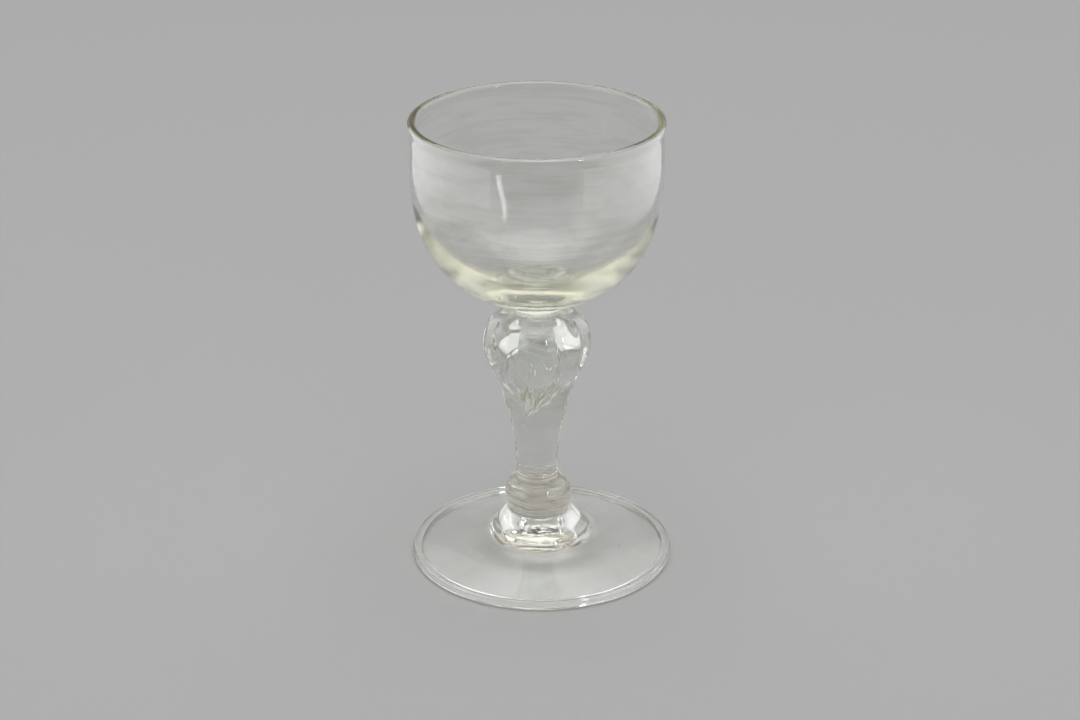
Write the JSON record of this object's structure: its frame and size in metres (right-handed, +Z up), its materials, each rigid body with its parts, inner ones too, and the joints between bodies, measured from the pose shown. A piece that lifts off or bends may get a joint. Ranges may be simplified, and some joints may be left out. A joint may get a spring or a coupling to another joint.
{
  "type": "wine glass",
  "caption": "Baluster wine glass: round bowl on a thick base, hollow moulded stem with an air tear, ball knop and folded conical foot.",
  "frame": {"origin": "centre of the ring that the foot rests on, in the resting plane", "axes": "+Z up towards the rim; the stem and bowl stand 1.5 mm towards -X of the foot's centre; -Y faces the viewer of the picture"},
  "size_m": [0.0824, 0.0824, 0.145],
  "materials": {
    "foot_glass": "clear blown glass with a faint warm grey tint, light scratches on the plate",
    "stem_glass": "clear moulded glass, fire polished, with fine tool rings on the knop and collar",
    "bowl_glass": "clear blown glass with a faint straw tint and fine level striae"
  },
  "bodies": {
    "root": {"foot": "foot_glass", "knop": "stem_glass", "neck_ring": "stem_glass", "stem": "stem_glass", "bowl_collar": "stem_glass", "bowl": "bowl_glass"}
  },
  "joints": []
}
